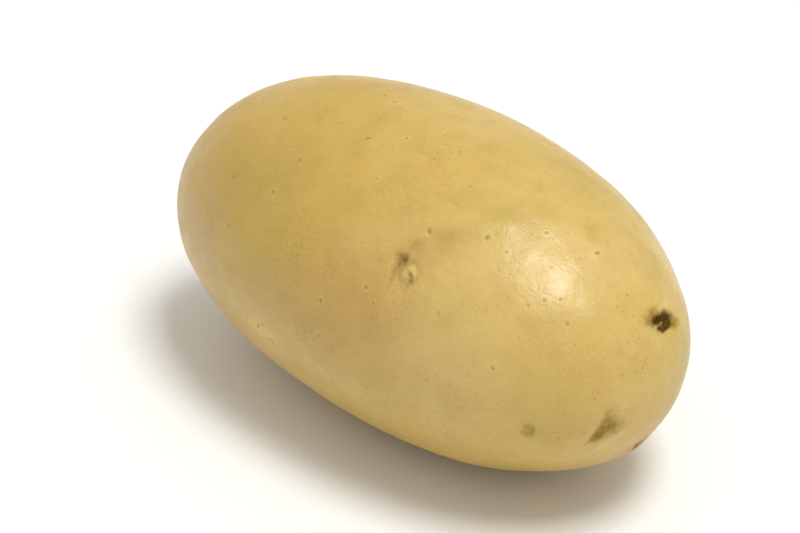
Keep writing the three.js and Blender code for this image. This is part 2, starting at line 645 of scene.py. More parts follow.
@dataclass(frozen=True)
class Heel:
    """The heel end: a shallow bowl holding the corky stub where the stolon broke off.

    Attributes:
        place: the bowl's middle.
        bowl_reach, bowl_depth: the bowl's size, in millimetres.
        stub_reach, stub_height: the stub's size, in millimetres.
        pit_reach, pit_depth: the sunk middle of the stub, in millimetres.
        cork_reach: how far the corky russet spreads, in millimetres.
        ribs: how many fine ribs run out from the stub.
        rib_height, rib_distance, rib_spread: their height, and where they are strongest and how far
            they reach either way, in millimetres.
    """

    place: SkinPlace
    bowl_reach: float = 6.5
    bowl_depth: float = 1.3
    stub_reach: float = 1.9
    stub_height: float = 1.1
    pit_reach: float = 0.722
    pit_depth: float = 0.55
    cork_reach: float = 3.2
    ribs: float = 17.0
    rib_height: float = 0.07
    rib_distance: float = 3.6
    rib_spread: float = 1.6

    def add_to(self, layer: SkinLayer) -> None:
        """Adds the bowl, the broken stub with its sunk middle, the cork around it, and painted shade
        darkening the sunk middle and the groove round the stub's foot.

        Args:
            layer: the skin that takes the feature.
        """
        chosen, offset = layer.near(self.place, 3.5 * self.bowl_reach * MM)
        distance = np.linalg.norm(offset, axis=1) / MM
        angle = np.arctan2(offset[:, 1], offset[:, 0])
        points = layer.points[chosen]
        uneven = 0.13 * WaveField(3.2 * MM, seed=51).at(points)
        uneven += 0.07 * WaveField(1.3 * MM, seed=52).at(points)
        ragged = distance * (1.0 + uneven)
        bowl = -self.bowl_depth * bell(distance / self.bowl_reach)
        stub = self.stub_height * bell((ragged / self.stub_reach) ** 2)
        pit = -self.pit_depth * bell(ragged / self.pit_reach)
        ring = bell((distance - self.rib_distance) / self.rib_spread)
        ribs = self.rib_height * np.cos(self.ribs * angle) * ring
        layer.raise_by(chosen, MM * (bowl + stub + pit + ribs))
        layer.mark(Mask.CORK, chosen, 1.1 * bell((ragged / self.cork_reach) ** 2))
        # Painted shade: darker in the stub's sunk middle and in a ring round its foot.
        layer.mark(Mask.DARK, chosen, 0.8 * bell(ragged / (0.45 * self.stub_reach)))
        layer.mark(Mask.DARK, chosen, 0.4 * bell((ragged - 1.25 * self.stub_reach) / 0.45))


@dataclass(frozen=True)
class Tint:
    """A soft patch of colour, with no relief.

    Attributes:
        mask: which colour.
        place: its middle.
        reach: its size ahead and across, in millimetres.
        strength: its peak, from 0 to 1.
    """

    mask: Mask
    place: SkinPlace
    reach: Pair
    strength: float

    def add_to(self, layer: SkinLayer) -> None:
        """Marks the patch as a bell curve stretched to its two reaches."""
        chosen, ahead, across = layer.patch(self.place, self.reach, 3.0)
        layer.mark(self.mask, chosen, self.strength * bell(np.hypot(ahead, across)))


@dataclass(frozen=True)
class RubbedPatch:
    """A place where the thin skin was rubbed off, a hair lower than the skin around it.

    Attributes:
        place: its middle.
        reach: its size ahead and across, in millimetres.
        depth: in millimetres.
    """

    place: SkinPlace
    reach: Pair
    depth: float = 0.04

    def add_to(self, layer: SkinLayer) -> None:
        """Sinks the patch and marks it, with an outline made uneven by two wave fields.

        Args:
            layer: the skin that takes the feature.
        """
        chosen, ahead, across = layer.patch(self.place, self.reach, 2.5)
        points = layer.points[chosen]
        uneven = 0.2 * WaveField(2.6 * MM, seed=41).at(points)
        uneven += 0.1 * WaveField(1.0 * MM, seed=42).at(points)
        level = 1.0 - np.hypot(ahead, across) + uneven
        layer.raise_by(chosen, -self.depth * MM * smooth_step(level, 0.0, 0.3))
        layer.mark(Mask.RUBBED, chosen, 0.5 + 0.5 * level)


@dataclass(frozen=True)
class Undulation:
    """Gentle unevenness all over: a wave field times a height, in millimetres."""

    wavelength: float
    height: float
    seed: int

    def add_to(self, layer: SkinLayer) -> None:
        """Adds the wave field to the whole skin's height."""
        waves = WaveField(self.wavelength * MM, self.seed).at(layer.points)
        layer.height += self.height * MM * waves


@dataclass(frozen=True)
class SpotSet:
    """The chosen lenticels, one row for each.

    Attributes:
        directions: their unit directions from the tuber's middle.
        radii: in metres.
        strengths: how dark each is, from 0 to 1.
        rings: how plain each one's pale ring is, from 0 to 1.
        turns: how far each one's oval is turned, in radians.
        widths: each oval's width over its length.
    """

    directions: Array
    radii: Array
    strengths: Array
    rings: Array
    turns: Array
    widths: Array


@dataclass(frozen=True)
class Spots:
    """The lenticels: small breathing pores, each a brown oval dot, some in a paler ring.

    Every vertex holds its offset from the nearest spot, in that spot's radii, so that the material
    can draw each spot sharper than the mesh. The offset's third part grows past two radii, which
    keeps the offset from passing zero between two spots.

    Attributes:
        plain: the ones that catch the eye, each a station, degrees around and a radius in
            millimetres.
        scattered: how many fainter ones are spread over the whole skin.
        apart: the least distance between two spots, in millimetres.
        seed: for their places.
        portions: how many parts the points are searched in, to save memory.
        kept_middle, kept_lean: the chance that a random place is kept at the tuber's middle, and
            what is added to it at the rose end and taken from it at the heel.
        plain_strengths: the range of strengths of the plain ones.
        radii: the scattered ones' least and most radius, in millimetres.
        strengths: the scattered ones' least and most strength.
        rim_height: the height of a rim, as a share of its spot's radius.
    """

    plain: tuple[tuple[float, float, float], ...]
    scattered: int = 480
    apart: float = 2.4
    seed: int = 12
    portions: int = 40
    kept_middle: float = 0.55
    kept_lean: float = 0.45
    plain_strengths: Pair = (0.62, 1.0)
    radii: Pair = (0.16, 0.40)
    strengths: Pair = (0.12, 0.72)
    rim_height: float = 0.07

    def _scatter(self, form: TuberForm) -> SpotSet:
        """Chooses the spots.

        The plain ones come first. Then random places are tried in turn, more of them near the rose
        end, and kept where no earlier spot is too near. Most of those are small and faint.

        Args:
            form: the smooth tuber.

        Returns:
            The spots.
        """
        random = np.random.default_rng(self.seed)
        directions = [SkinPlace(station, around).direction() for station, around, _ in self.plain]
        radii = [radius * MM for _, _, radius in self.plain]
        strengths = list(random.uniform(*self.plain_strengths, size=len(self.plain)))
        centres = [form.skin(d[None, :])[0] for d in directions]
        while len(directions) < len(self.plain) + self.scattered:
            candidate = unit(random.normal(size=3))
            size, strength = random.uniform(0.0, 1.0, size=2)
            if random.uniform() > self.kept_middle + self.kept_lean * candidate[0]:
                continue
            centre = form.skin(candidate[None, :])[0]
            if np.linalg.norm(np.array(centres) - centre, axis=1).min() < self.apart * MM:
                continue
            directions.append(candidate)
            centres.append(centre)
            radii.append(np.interp(size**2, (0.0, 1.0), self.radii) * MM)
            strengths.append(np.interp(strength**2.2, (0.0, 1.0), self.strengths))
        count = len(directions)
        rings = random.uniform(0.0, 1.0, size=count) ** 2
        turns = random.uniform(0.0, math.pi, size=count)
        widths = random.uniform(0.55, 1.0, size=count)
        return SpotSet(
            np.array(directions), np.array(radii), np.array(strengths), rings, turns, widths
        )

    def add_to(self, layer: SkinLayer) -> Array:
        """Raises a low rim round each spot, sinks its middle and marks its strength and ring.

        Args:
            layer: the skin that takes the feature.

        Returns:
            Each point's offset from its nearest spot, in that spot's radii, for the mesh to carry.
        """
        spots = self._scatter(layer.form)
        centres = layer.form.skin(spots.directions)
        up = layer.form.outward(spots.directions)
        nearest = np.concatenate(
            [
                np.argmin(((part[:, None, :] - centres) ** 2).sum(axis=2), axis=1)
                for part in np.array_split(layer.points, self.portions)
            ]
        )
        plain = ahead_along(up)
        turn = spots.turns[:, None]
        ahead = plain * np.cos(turn) + np.cross(up, plain) * np.sin(turn)
        across = np.cross(up, ahead) / spots.widths[:, None]
        gap = (layer.points - centres[nearest]) / spots.radii[nearest, None]
        u = (gap * ahead[nearest]).sum(axis=1)
        v = (gap * across[nearest]).sum(axis=1)
        beyond = 3.0 * np.maximum(np.linalg.norm(gap, axis=1) - 2.0, 0.0)
        offset = np.stack([u, v, beyond], axis=1)

        distance = np.linalg.norm(offset, axis=1)
        strength = spots.strengths[nearest]
        rim = bell((distance - 1.3) / 0.6) - 0.8 * bell(distance / 0.8)
        layer.height += self.rim_height * spots.radii[nearest] * strength * rim
        layer.masks[Mask.SPOT] = strength
        layer.masks[Mask.SPOT_RING] = strength * spots.rings[nearest]
        return offset


# ---------------------------------------------------------------------------------------------
# Shader nodes
# ---------------------------------------------------------------------------------------------


def linear(*display: float) -> tuple[float, float, float, float]:
    """Turns a display colour of 0 to 1 into the linear colour that a shader socket takes."""
    undone = (v / 12.92 if v <= 0.04045 else ((v + 0.055) / 1.055) ** 2.4 for v in display)
    return (*undone, 1.0)


class Wiring:
    """Adds nodes to one tree and joins their sockets."""

    def __init__(self, tree: bpy.types.NodeTree) -> None:
        """Works on the given tree."""
        self.tree = tree

    def add(
        self, kind: str, inputs: dict[str | int, object] | None = None, **settings: object
    ) -> bpy.types.Node:
        """Adds a node.

        Args:
            kind: Blender's name for the node type.
            inputs: for each socket, by name or number, a value or the socket that feeds it.
            settings: the node's own properties.

        Returns:
            The node.
        """
        node = self.tree.nodes.new(kind)
        for name, value in settings.items():
            setattr(node, name, value)
        for key, value in (inputs or {}).items():
            if isinstance(value, bpy.types.NodeSocket):
                self.tree.links.new(value, node.inputs[key])
            else:
                node.inputs[key].default_value = value
        return node

    def math(self, operation: str, first: object, second: object = 0.0) -> Socket:
        """The result of a Math node on two values or sockets."""
        return self.add("ShaderNodeMath", {0: first, 1: second}, operation=operation).outputs[0]

    def times(self, first: object, second: object) -> Socket:
        """The product of two values or sockets."""
        return self.math("MULTIPLY", first, second)

    def clamped(self, operation: str, first: object, second: object) -> Socket:
        """The result of a Math node, held between 0 and 1."""
        inputs = {0: first, 1: second}
        return self.add("ShaderNodeMath", inputs, operation=operation, use_clamp=True).outputs[0]

    def vector(self, operation: str, inputs: dict[str | int, object]) -> bpy.types.Node:
        """A Vector Math node."""
        return self.add("ShaderNodeVectorMath", inputs, operation=operation)

    def remap(
        self, value: object, low: float, high: float, to_low: float = 0.0, to_high: float = 1.0
    ) -> Socket:
        """A value moved smoothly from one range to another, and held at its ends.

        Args:
            value: the value.
            low, high: the range it is moved from.
            to_low, to_high: the range it is moved to.

        Returns:
            The moved value.
        """
        ranges = {"From Min": low, "From Max": high, "To Min": to_low, "To Max": to_high}
        inputs = {"Value": value, **ranges}
        node = self.add("ShaderNodeMapRange", inputs, interpolation_type="SMOOTHSTEP")
        return node.outputs["Result"]

    def tint(self, factor: object, colour: object, tint: Colour) -> Socket:
        """A colour mixed with a display colour by a factor."""
        inputs = {0: factor, 6: colour, 7: linear(*tint)}
        return self.add("ShaderNodeMix", inputs, data_type="RGBA").outputs[2]

    def noise(self, vector: Socket, scale: object, detail: float = 2.0, rough: float = 0.5) -> Socket:
        """Smooth noise from 0 to 1, with the scale in waves per metre."""
        inputs = {"Vector": vector, "Scale": scale, "Detail": detail, "Roughness": rough}
        return self.add("ShaderNodeTexNoise", inputs).outputs["Fac"]

    def stretched(self, vector: Socket, share: float) -> Socket:
        """A vector with its part along the tuber made shorter, so that a pattern on it is longer."""
        return self.add("ShaderNodeMapping", {"Vector": vector, "Scale": (share, 1.0, 1.0)}).outputs[0]

    def moved(self, vector: Socket, by: float) -> Socket:
        """A vector moved by the same distance along each axis, in metres."""
        return self.add("ShaderNodeMapping", {"Vector": vector, "Location": (by, by, by)}).outputs[0]

    def attribute(self, name: str) -> bpy.types.Node:
        """One of the mesh's attributes."""
        return self.add("ShaderNodeAttribute", attribute_name=name, attribute_type="GEOMETRY")

    def mask(self, mask: Mask) -> Socket:
        """One of the mesh's masks."""
        return self.attribute(mask.value).outputs["Fac"]

    def effect(self, tree: bpy.types.NodeTree, **inputs: object) -> bpy.types.Node:
        """Places a node group with its own values."""
        return self.add("ShaderNodeGroup", inputs, node_tree=tree)


class Effect:
    """A shader node group under construction, with named inputs and outputs.

    Attributes:
        tree: the group.
        wiring: adds nodes to it.
        inputs: the sockets that its inputs arrive on.
    """

    def __init__(self, name: str, inputs: dict[str, object], outputs: tuple[str, ...]) -> None:
        """Makes the group and its sockets.

        Args:
            name: the group's name.
            inputs: each input's default: a number, or None for a vector.
            outputs: the names of its value outputs.
        """
        self.tree = bpy.data.node_groups.new(name, "ShaderNodeTree")
        for socket, default in inputs.items():
            kind = "NodeSocketVector" if default is None else "NodeSocketFloat"
            made = self.tree.interface.new_socket(socket, in_out="INPUT", socket_type=kind)
            if default is not None:
                made.default_value = default
        for socket in outputs:
            self.tree.interface.new_socket(socket, in_out="OUTPUT", socket_type="NodeSocketFloat")
        self.wiring = Wiring(self.tree)
        self.inputs = self.wiring.add("NodeGroupInput").outputs
        self._end = self.wiring.add("NodeGroupOutput")

    def give(self, **results: Socket) -> bpy.types.NodeTree:
        """Joins each result to the output of that name, and returns the finished group."""
        for name, socket in results.items():
            self.tree.links.new(socket, self._end.inputs[name])
        return self.tree


def mottle_effect() -> bpy.types.NodeTree:
    """Cloudy variation: noise of the given scale, with its contrast raised about the middle.

    Returns:
        The node group.
    """
    effect = Effect("mottle", {"Vector": None, "Scale": 100.0, "Contrast": 1.0}, ("Value",))
    w, given = effect.wiring, effect.inputs
    cloud = w.noise(given["Vector"], given["Scale"], detail=3.0, rough=0.55)
    centred = w.times(w.math("SUBTRACT", cloud, 0.5), given["Contrast"])
    return effect.give(Value=w.clamped("ADD", centred, 0.5))


def flecks_effect() -> bpy.types.NodeTree:
    """Tiny irregular flecks that gather in loose drifts.

    Fine noise is cut at a level, and the level comes down where a second noise, fifteen times
    broader, is high.

    Returns:
        The node group.
    """
    effect = Effect("flecks", {"Vector": None, "Scale": 1900.0, "Level": 0.6}, ("Value",))
    w, given = effect.wiring, effect.inputs
    fine = w.noise(given["Vector"], given["Scale"], detail=2.0, rough=0.55)
    drift = w.noise(given["Vector"], w.math("DIVIDE", given["Scale"], 15.0), detail=1.0)
    lowered = w.times(w.math("SUBTRACT", drift, 0.5), 0.35)
    above = w.math("SUBTRACT", w.math("ADD", fine, lowered), given["Level"])
    return effect.give(Value=w.remap(above, 0.0, 0.1))


def cells_effect() -> bpy.types.NodeTree:
    """The skin's finest relief: rounded cells, longer along the tuber, pushed about by noise.

    Returns:
        The node group.
    """
    effect = Effect("skin_cells", {"Vector": None, "Scale": 2200.0}, ("Height",))
    w, given = effect.wiring, effect.inputs
    noise = w.add("ShaderNodeTexNoise", {"Vector": given["Vector"], "Scale": 600.0, "Detail": 2.0})
    push = w.vector("SCALE", {0: noise.outputs["Color"], "Scale": CELL_PUSH}).outputs[0]
    place = w.vector("ADD", {0: given["Vector"], 1: push}).outputs[0]
    inputs = {"Vector": w.stretched(place, 0.6), "Scale": given["Scale"], "Smoothness": 0.6}
    cells = w.add("ShaderNodeTexVoronoi", inputs, feature="SMOOTH_F1")
    return effect.give(Height=w.remap(cells.outputs["Distance"], 0.0, 0.8, 1.0, 0.0))


def ragged_effect() -> bpy.types.NodeTree:
    """A soft mask broken up by noise, which reaches its full strength at a third of the mask.

    Returns:
        The node group.
    """
    inputs = {"Vector": None, "Mask": 0.0, "Scale": 1500.0, "Rough": 0.5}
    effect = Effect("ragged_mask", inputs, ("Value",))
    w, given = effect.wiring, effect.inputs
    centred = w.math("SUBTRACT", w.noise(given["Vector"], given["Scale"], detail=3.0, rough=0.6), 0.5)
    push = w.times(w.times(centred, given["Rough"]), w.clamped("MULTIPLY", given["Mask"], 3.0))
    return effect.give(Value=w.clamped("ADD", given["Mask"], push))


def spot_effect() -> bpy.types.NodeTree:
    """A lenticel drawn from its offset: a ragged dot, a ring around it, and its relief.

    Returns:
        The node group.
    """
    inputs = {"Offset": None, "Vector": None, "Ragged": 0.9}
    effect = Effect("lenticel", inputs, ("Dot", "Ring", "Height"))
    w, given = effect.wiring, effect.inputs
    length = w.vector("LENGTH", {0: given["Offset"]}).outputs["Value"]
    uneven = w.math("SUBTRACT", w.noise(given["Vector"], 2400.0, detail=3.0, rough=0.6), 0.5)
    ragged = w.math("ADD", length, w.times(uneven, given["Ragged"]))
    dot = w.remap(ragged, 0.25, 1.25, 1.0, 0.0)
    ring = w.times(w.remap(ragged, 0.8, 1.5), w.remap(ragged, 1.6, 2.9, 1.0, 0.0))
    return effect.give(Dot=dot, Ring=ring, Height=w.math("SUBTRACT", w.times(ring, 0.5), dot))


def rubbed_effect() -> bpy.types.NodeTree:
    """Rubbed skin from a soft mask: a flaky patch, and the broken lip of skin along its edge.

    Returns:
        The node group.
    """
    effect = Effect("rubbed_skin", {"Vector": None, "Mask": 0.0}, ("Patch", "Lip"))
    w, given = effect.wiring, effect.inputs
    flakes = w.math("SUBTRACT", w.noise(given["Vector"], 1300.0, detail=4.0, rough=0.6), 0.5)
    level = w.math("ADD", given["Mask"], w.times(flakes, 0.3))
    patch = w.remap(level, 0.46, 0.64)
    edge = w.times(w.remap(level, 0.4, 0.5), w.remap(level, 0.5, 0.6, 1.0, 0.0))
    broken = w.remap(w.noise(given["Vector"], 450.0, detail=1.0), 0.45, 0.6)
    return effect.give(Patch=patch, Lip=w.times(edge, broken))


def grain_effect() -> bpy.types.NodeTree:
    """Fine grain for bump: two noises, the second five times finer and weaker.

    Returns:
        The node group.
    """
    effect = Effect("fine_grain", {"Vector": None, "Scale": 2000.0}, ("Height",))
    w, given = effect.wiring, effect.inputs
    coarse = w.noise(given["Vector"], given["Scale"], detail=3.0, rough=0.6)
    fine = w.noise(given["Vector"], w.times(given["Scale"], 5.0), detail=2.0)
    return effect.give(Height=w.math("ADD", coarse, w.times(fine, 0.3)))


class Effects:
    """The shader node groups, each built once."""

    def __init__(self) -> None:
        """Builds them all."""
        self.mottle = mottle_effect()
        self.flecks = flecks_effect()
        self.cells = cells_effect()
        self.ragged = ragged_effect()
        self.spot = spot_effect()
        self.rubbed = rubbed_effect()
        self.grain = grain_effect()


# ---------------------------------------------------------------------------------------------
# Finishes
# ---------------------------------------------------------------------------------------------


def blank_material(name: str) -> tuple[bpy.types.Material, Wiring]:
    """A material with no nodes yet, and the wiring that adds them.

    Args:
        name: the material's name.

    Returns:
        The material and its wiring.
    """
    material = bpy.data.materials.new(name)
    material.use_nodes = True
    material.node_tree.nodes.clear()
    return material, Wiring(material.node_tree)


def finish_material(w: Wiring, inputs: dict[str, object]) -> None:
    """Adds the Principled shader with its inputs, and joins it to the material's output."""
    shader = w.add("ShaderNodeBsdfPrincipled", inputs)
    w.add("ShaderNodeOutputMaterial", {"Surface": shader.outputs["BSDF"]})


@dataclass(frozen=True)
class SkinMaps:
    """What the skin's colour, roughness and bump all read.

    Attributes:
        w: adds nodes to the material.
        effects: the shader node groups.
        place: the place on the object.
        dot, ring, dot_height: the lenticels' dots, their rings and their relief.
        patch, lip: the rubbed patches and their edges.
    """

    w: Wiring
    effects: Effects
    place: Socket
    dot: Socket
    ring: Socket
    dot_height: Socket
    patch: Socket
    lip: Socket

    @classmethod
    def wired(cls, w: Wiring, effects: Effects) -> "SkinMaps":
        """Adds the nodes that the maps come from.

        Args:
            w: adds nodes to the material.
            effects: the shader node groups.

        Returns:
            The maps.
        """
        place = w.add("ShaderNodeTexCoord").outputs["Object"]
        offset = w.attribute(SPOT_OFFSET).outputs["Vector"]
        spot = w.effect(effects.spot, Offset=offset, Vector=place).outputs
        rubbed = w.effect(effects.rubbed, Vector=place, Mask=w.mask(Mask.RUBBED)).outputs
        dot = w.times(spot["Dot"], w.mask(Mask.SPOT))
        ring = w.times(spot["Ring"], w.mask(Mask.SPOT_RING))
        height = w.times(spot["Height"], w.mask(Mask.SPOT))
        return cls(w, effects, place, dot, ring, height, rubbed["Patch"], rubbed["Lip"])

    def clouds(self, place: Socket, scale: float, contrast: float) -> Socket:
        """Cloudy variation at a place, from 0 to 1."""
        clouds = self.w.effect(self.effects.mottle, Vector=place, Scale=scale, Contrast=contrast)
        return clouds.outputs["Value"]


@dataclass(frozen=True)
class SkinFinish:
    """The potato's skin: thin, satin and slightly see-through over pale yellow flesh.

    Colours are display colours. Bump heights are in units of the bump distance, in metres.
    """

    tan: Colour = (0.805, 0.695, 0.415)
    gold: Colour = (0.765, 0.635, 0.295)
    green: Colour = (0.645, 0.595, 0.22)
    blush: Colour = (0.715, 0.56, 0.30)
    pink: Colour = (0.77, 0.605, 0.42)
    haze: Colour = (0.68, 0.55, 0.26)
    fleck: Colour = (0.58, 0.44, 0.16)
    # Paints the dark mask: painted shade in creases, pits and slits, and dark torn tissue.
    brown: Colour = (0.30, 0.19, 0.015)
    olive: Colour = (0.54, 0.43, 0.06)
    pale: Colour = (0.87, 0.765, 0.52)
    cork: Colour = (0.56, 0.43, 0.26)
    flesh: Colour = (0.87, 0.77, 0.48)
    dot: Colour = (0.47, 0.34, 0.10)
    roughness: float = 0.37
    refraction: float = 1.54
    subsurface: float = 0.15
    scatter: tuple[float, float, float] = (1.0, 0.55, 0.2)
    scatter_depth: float = 0.0018
    bump_distance: float = 0.0001

    def build(self, effects: Effects) -> bpy.types.Material:
        """Makes the skin's material.

        Args:
            effects: the shader node groups.

        Returns:
            The material.
        """
        material, w = blank_material("potato_skin")
        maps = SkinMaps.wired(w, effects)
        finish_material(
            w,
            {
                "Base Color": self._colour(maps),
                "Roughness": self._roughness(maps),
                "Normal": self._bump(maps),
                "IOR": self.refraction,
                "Specular IOR Level": self._shine(w),
                "Subsurface Weight": self.subsurface,
                "Subsurface Radius": self.scatter,
                "Subsurface Scale": self.scatter_depth,
            },
        )
        return material

    def _ground(self, maps: SkinMaps) -> Socket:
        """The plain skin: tan and gold clouds, tinted patches, a russet haze and fine flecks.

        Each tint shows where its mask lies, cloudily, and strays a little over the whole skin.

        Args:
            maps: the maps that it reads.

        Returns:
            The colour.
        """
        w, place = maps.w, maps.place
        colour = w.tint(maps.clouds(place, 45.0, 2.6), linear(*self.tan), self.gold)
        for number, (mask, tint, drift) in enumerate(
            (
                (Mask.GREEN, self.green, 0.4),
                (Mask.GOLD, self.gold, 0.45),
                (Mask.BLUSH, self.blush, 0.22),
                (Mask.PINK, self.pink, 0.14),
            )
        ):
            cloud = maps.clouds(w.moved(place, 0.1 * (number + 1)), 85.0, 2.4)
            amount = w.times(w.mask(mask), w.remap(cloud, 0.0, 1.0, 0.5, 1.2))
            stray = w.remap(cloud, 0.62, 1.0, 0.0, drift)
            colour = w.tint(w.math("MAXIMUM", amount, stray), colour, tint)

        haze = w.remap(maps.clouds(place, 260.0, 2.6), 0.35, 1.0, 0.0, 0.22)
        streaks = w.noise(w.stretched(place, 0.22), 900.0, detail=3.0, rough=0.6)
        for amount in (haze, w.remap(streaks, 0.5, 0.75, 0.0, 0.16)):
            colour = w.tint(amount, colour, self.haze)
        for where, scale, level, most, tint in (
            (place, 1900.0, 0.61, 0.21, self.fleck),
            (place, 4200.0, 0.57, 0.15, self.fleck),
            (w.moved(place, 0.7), 2600.0, 0.6, 0.16, self.pale),
        ):
            flecks = w.effect(maps.effects.flecks, Vector=where, Scale=scale, Level=level)
            colour = w.tint(w.times(flecks.outputs["Value"], most), colour, tint)
        return colour

    def _colour(self, maps: SkinMaps) -> Socket:
        """Layers the colours: the plain skin, rubbed skin, lenticels, cork and what the eyes hold,
        with the dark mask painting shade into creases and pits.

        Args:
            maps: the maps that it reads.

        Returns:
            The colour.
        """
        w, place = maps.w, maps.place
        colour = self._ground(maps)
        for amount, most, tint in (
            (maps.patch, 0.28, self.flesh),
            (maps.lip, 0.35, self.fleck),
            (maps.ring, 0.32, self.pale),
            (maps.dot, 0.6, self.dot),
        ):
            colour = w.tint(w.times(amount, most), colour, tint)
        # Painted shade comes in through the dark mask, and a painted highlight through the pale mask
        # ahead of the stained eye; the rest is the skin's own colour.
        for mask, tint, scale, rough in (
            (Mask.PALE, self.pale, 1300.0, 0.5),
            (Mask.OLIVE, self.olive, 1100.0, 1.5),
            (Mask.CORK, self.cork, 1500.0, 0.8),
            (Mask.DARK, self.brown, 1700.0, 0.9),
        ):
            ragged = w.effect(
                maps.effects.ragged, Vector=place, Mask=w.mask(mask), Scale=scale, Rough=rough
            )
            colour = w.tint(ragged.outputs["Value"], colour, tint)
        return colour

    def _shine(self, w: Wiring) -> Socket:
        """How much the surface shines: a half on the skin, and little in what is dark or corky."""
        dull = w.math("MAXIMUM", w.mask(Mask.DARK), w.times(w.mask(Mask.OLIVE), 0.6))
        return w.remap(w.math("MAXIMUM", dull, w.mask(Mask.CORK)), 0.1, 0.9, 0.5, 0.1)

    def _roughness(self, maps: SkinMaps) -> Socket:
        """Satin skin with cloudy variation, duller on dots, cork, crevices and rubbed patches.

        Args:
            maps: the maps that it reads.

        Returns:
            The roughness.
        """
        w = maps.w
        smoothest, roughest = self.roughness - 0.06, self.roughness + 0.08
        value = w.remap(maps.clouds(maps.place, 320.0, 1.8), 0.0, 1.0, smoothest, roughest)
        for amount, weight in (
            (maps.dot, 0.3),
            (w.mask(Mask.CORK), 0.4),
            (w.mask(Mask.DARK), 0.35),
            (w.mask(Mask.OLIVE), 0.2),
            (maps.patch, 0.14),
        ):
            value = w.math("ADD", value, w.times(amount, weight))
        return w.math("MINIMUM", value, 0.95)

    def _bump(self, maps: SkinMaps) -> Socket:
        """The finest relief: pebbles, cells, grain, lenticels and the edge of rubbed skin.

        Args:
            maps: the maps that it reads.

        Returns:
            The bumped normal.
        """
        w, place, effects = maps.w, maps.place, maps.effects
        grain = w.effect(effects.grain, Vector=place, Scale=1500.0).outputs["Height"]
        cells = w.effect(effects.cells, Vector=place, Scale=2400.0).outputs["Height"]
        height = w.times(grain, 0.3)
        for amount, weight in (
            (w.noise(place, 420.0, detail=2.0), 1.25),
            (w.noise(w.stretched(place, 0.2), 1000.0, detail=3.0), 0.3),
            (cells, 0.12),
            (maps.dot_height, 0.35),
            (maps.patch, -0.2),
            (maps.lip, 0.25),
            (w.times(w.mask(Mask.CORK), grain), 1.4),
        ):
            height = w.math("ADD", height, w.times(amount, weight))
        bump = w.add("ShaderNodeBump", {"Height": height, "Distance": self.bump_distance})
        return bump.outputs["Normal"]


@dataclass(frozen=True)
class FloorFinish:
    """The pale floor: matt white, with a trace of grain."""

    white: Colour = (0.94, 0.945, 0.955)
    roughness: float = 0.7
    shine: float = 0.2
    bump_distance: float = 0.00002

    def build(self, effects: Effects) -> bpy.types.Material:
        """Makes the floor's material.

        Args:
            effects: the shader node groups.

        Returns:
            The material.
        """
        material, w = blank_material("studio_floor")
        place = w.add("ShaderNodeTexCoord").outputs["Object"]
        grain = w.effect(effects.grain, Vector=place, Scale=400.0).outputs["Height"]
        bump = w.add("ShaderNodeBump", {"Height": grain, "Distance": self.bump_distance})
        finish_material(
            w,
            {
                "Base Color": linear(*self.white),
                "Roughness": self.roughness,
                "Specular IOR Level": self.shine,
                "Normal": bump.outputs["Normal"],
            },
        )
        return material


# ---------------------------------------------------------------------------------------------
# The tuber
# ---------------------------------------------------------------------------------------------


def add_object(name: str, data: bpy.types.ID) -> bpy.types.Object:
    """Makes an object of a mesh, a light or a camera, and puts it in the scene.

    Args:
        name: the object's name.
        data: its mesh, light or camera.

    Returns:
        The object.
    """
    made = bpy.data.objects.new(name, data)
    bpy.context.scene.collection.objects.link(made)
    return made


